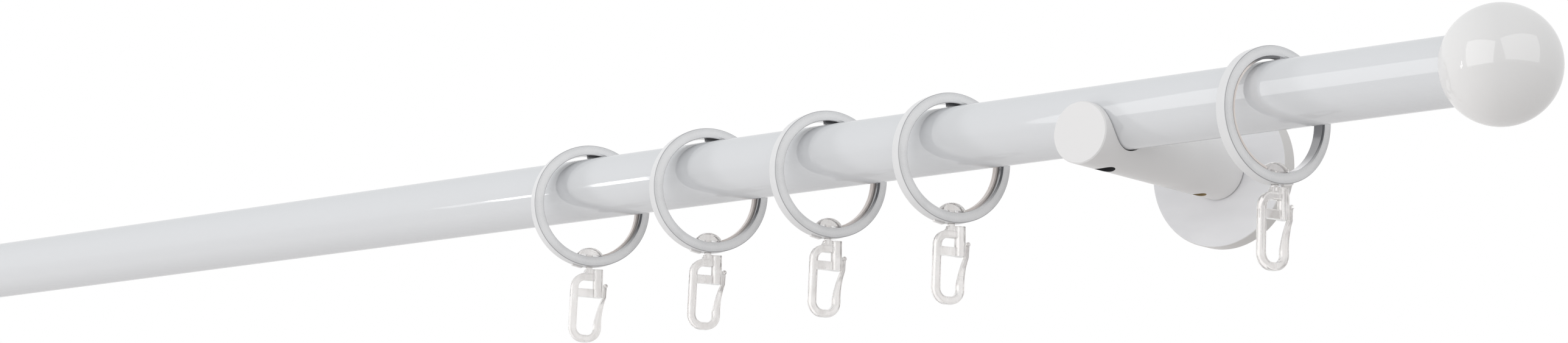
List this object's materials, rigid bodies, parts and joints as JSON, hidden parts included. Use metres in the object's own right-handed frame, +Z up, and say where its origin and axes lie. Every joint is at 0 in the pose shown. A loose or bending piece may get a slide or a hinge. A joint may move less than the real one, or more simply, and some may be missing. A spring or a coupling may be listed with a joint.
{
  "type": "curtain rod with brackets",
  "caption": "White round curtain rod in saddle-arm wall brackets with round rosettes, ball finials and sliding flat rings that carry clear snap hooks.",
  "frame": {"origin": "on the wall plane, midway between the two brackets, at the height of their arms", "axes": "+X along the rod, +Y into the wall, +Z up"},
  "size_m": [1.2614, 0.0862, 0.0681],
  "materials": {
    "rod_lacquer": "gloss white lacquer",
    "ball_lacquer": "gloss white lacquer",
    "bracket_lacquer": "satin white lacquer",
    "ring_lacquer": "satin white lacquer",
    "liner_plastic": "natural, slightly translucent",
    "clear_plastic": "clear moulding",
    "plug_plastic": "plain",
    "zinc_steel": "zinc plated",
    "dark_steel": "dark zinc",
    "brass": "plain"
  },
  "bodies": {
    "rail": {"rod_tube": "rod_lacquer", "finial_ball_right": "ball_lacquer", "finial_plug_right": "plug_plastic", "bracket_arm_right": "bracket_lacquer", "wall_plate_right": "zinc_steel", "rosette_right": "bracket_lacquer", "finial_ball_left": "ball_lacquer", "finial_plug_left": "plug_plastic", "bracket_arm_left": "bracket_lacquer", "wall_plate_left": "zinc_steel", "rosette_left": "bracket_lacquer", "clamp_screws": "dark_steel", "lock_screws": "brass"},
    "ring_right_1_body": {"ring_right_1": "ring_lacquer", "liner_right_1": "liner_plastic"},
    "hook_right_1_body": {"hook_right_1": "clear_plastic"},
    "ring_right_2_body": {"ring_right_2": "ring_lacquer", "liner_right_2": "liner_plastic"},
    "hook_right_2_body": {"hook_right_2": "clear_plastic"},
    "ring_right_3_body": {"ring_right_3": "ring_lacquer", "liner_right_3": "liner_plastic"},
    "hook_right_3_body": {"hook_right_3": "clear_plastic"},
    "ring_right_4_body": {"ring_right_4": "ring_lacquer", "liner_right_4": "liner_plastic"},
    "hook_right_4_body": {"hook_right_4": "clear_plastic"},
    "ring_right_5_body": {"ring_right_5": "ring_lacquer", "liner_right_5": "liner_plastic"},
    "hook_right_5_body": {"hook_right_5": "clear_plastic"},
    "ring_left_1_body": {"ring_left_1": "ring_lacquer", "liner_left_1": "liner_plastic"},
    "hook_left_1_body": {"hook_left_1": "clear_plastic"},
    "ring_left_2_body": {"ring_left_2": "ring_lacquer", "liner_left_2": "liner_plastic"},
    "hook_left_2_body": {"hook_left_2": "clear_plastic"},
    "ring_left_3_body": {"ring_left_3": "ring_lacquer", "liner_left_3": "liner_plastic"},
    "hook_left_3_body": {"hook_left_3": "clear_plastic"},
    "ring_left_4_body": {"ring_left_4": "ring_lacquer", "liner_left_4": "liner_plastic"},
    "hook_left_4_body": {"hook_left_4": "clear_plastic"},
    "ring_left_5_body": {"ring_left_5": "ring_lacquer", "liner_left_5": "liner_plastic"},
    "hook_left_5_body": {"hook_left_5": "clear_plastic"}
  },
  "joints": [
    {"name": "ring_right_1_slide", "type": "slide", "parent": "rail", "child": "ring_right_1_body", "axis": [1, 0, 0], "range_m": [-0.27, 0.014]},
    {"name": "hook_right_1_swivel", "type": "hinge", "parent": "ring_right_1_body", "child": "hook_right_1_body", "pos_m": [0.2817, -0.0666, -0.0196], "axis": [0, 0, 1], "continuous": true},
    {"name": "ring_right_2_slide", "type": "slide", "parent": "rail", "child": "ring_right_2_body", "axis": [1, 0, 0], "range_m": [-0.014, 0.013]},
    {"name": "hook_right_2_swivel", "type": "hinge", "parent": "ring_right_2_body", "child": "hook_right_2_body", "pos_m": [0.3322, -0.0666, -0.0196], "axis": [0, 0, 1], "continuous": true},
    {"name": "ring_right_3_slide", "type": "slide", "parent": "rail", "child": "ring_right_3_body", "axis": [1, 0, 0], "range_m": [-0.013, 0.0125]},
    {"name": "hook_right_3_swivel", "type": "hinge", "parent": "ring_right_3_body", "child": "hook_right_3_body", "pos_m": [0.3807, -0.0666, -0.0196], "axis": [0, 0, 1], "continuous": true},
    {"name": "ring_right_4_slide", "type": "slide", "parent": "rail", "child": "ring_right_4_body", "axis": [1, 0, 0], "range_m": [-0.0125, 0.036]},
    {"name": "hook_right_4_swivel", "type": "hinge", "parent": "ring_right_4_body", "child": "hook_right_4_body", "pos_m": [0.4281, -0.0666, -0.0196], "axis": [0, 0, 1], "continuous": true},
    {"name": "ring_right_5_slide", "type": "slide", "parent": "rail", "child": "ring_right_5_body", "axis": [1, 0, 0], "range_m": [-0.039, 0.049]},
    {"name": "hook_right_5_swivel", "type": "hinge", "parent": "ring_right_5_body", "child": "hook_right_5_body", "pos_m": [0.5417, -0.0666, -0.0196], "axis": [0, 0, 1], "continuous": true},
    {"name": "ring_left_1_slide", "type": "slide", "parent": "rail", "child": "ring_left_1_body", "axis": [-1, 0, 0], "range_m": [-0.27, 0.014]},
    {"name": "hook_left_1_swivel", "type": "hinge", "parent": "ring_left_1_body", "child": "hook_left_1_body", "pos_m": [-0.2817, -0.0666, -0.0196], "axis": [0, 0, 1], "continuous": true},
    {"name": "ring_left_2_slide", "type": "slide", "parent": "rail", "child": "ring_left_2_body", "axis": [-1, 0, 0], "range_m": [-0.014, 0.013]},
    {"name": "hook_left_2_swivel", "type": "hinge", "parent": "ring_left_2_body", "child": "hook_left_2_body", "pos_m": [-0.3322, -0.0666, -0.0196], "axis": [0, 0, 1], "continuous": true},
    {"name": "ring_left_3_slide", "type": "slide", "parent": "rail", "child": "ring_left_3_body", "axis": [-1, 0, 0], "range_m": [-0.013, 0.0125]},
    {"name": "hook_left_3_swivel", "type": "hinge", "parent": "ring_left_3_body", "child": "hook_left_3_body", "pos_m": [-0.3807, -0.0666, -0.0196], "axis": [0, 0, 1], "continuous": true},
    {"name": "ring_left_4_slide", "type": "slide", "parent": "rail", "child": "ring_left_4_body", "axis": [-1, 0, 0], "range_m": [-0.0125, 0.036]},
    {"name": "hook_left_4_swivel", "type": "hinge", "parent": "ring_left_4_body", "child": "hook_left_4_body", "pos_m": [-0.4281, -0.0666, -0.0196], "axis": [0, 0, 1], "continuous": true},
    {"name": "ring_left_5_slide", "type": "slide", "parent": "rail", "child": "ring_left_5_body", "axis": [-1, 0, 0], "range_m": [-0.039, 0.049]},
    {"name": "hook_left_5_swivel", "type": "hinge", "parent": "ring_left_5_body", "child": "hook_left_5_body", "pos_m": [-0.5417, -0.0666, -0.0196], "axis": [0, 0, 1], "continuous": true}
  ]
}
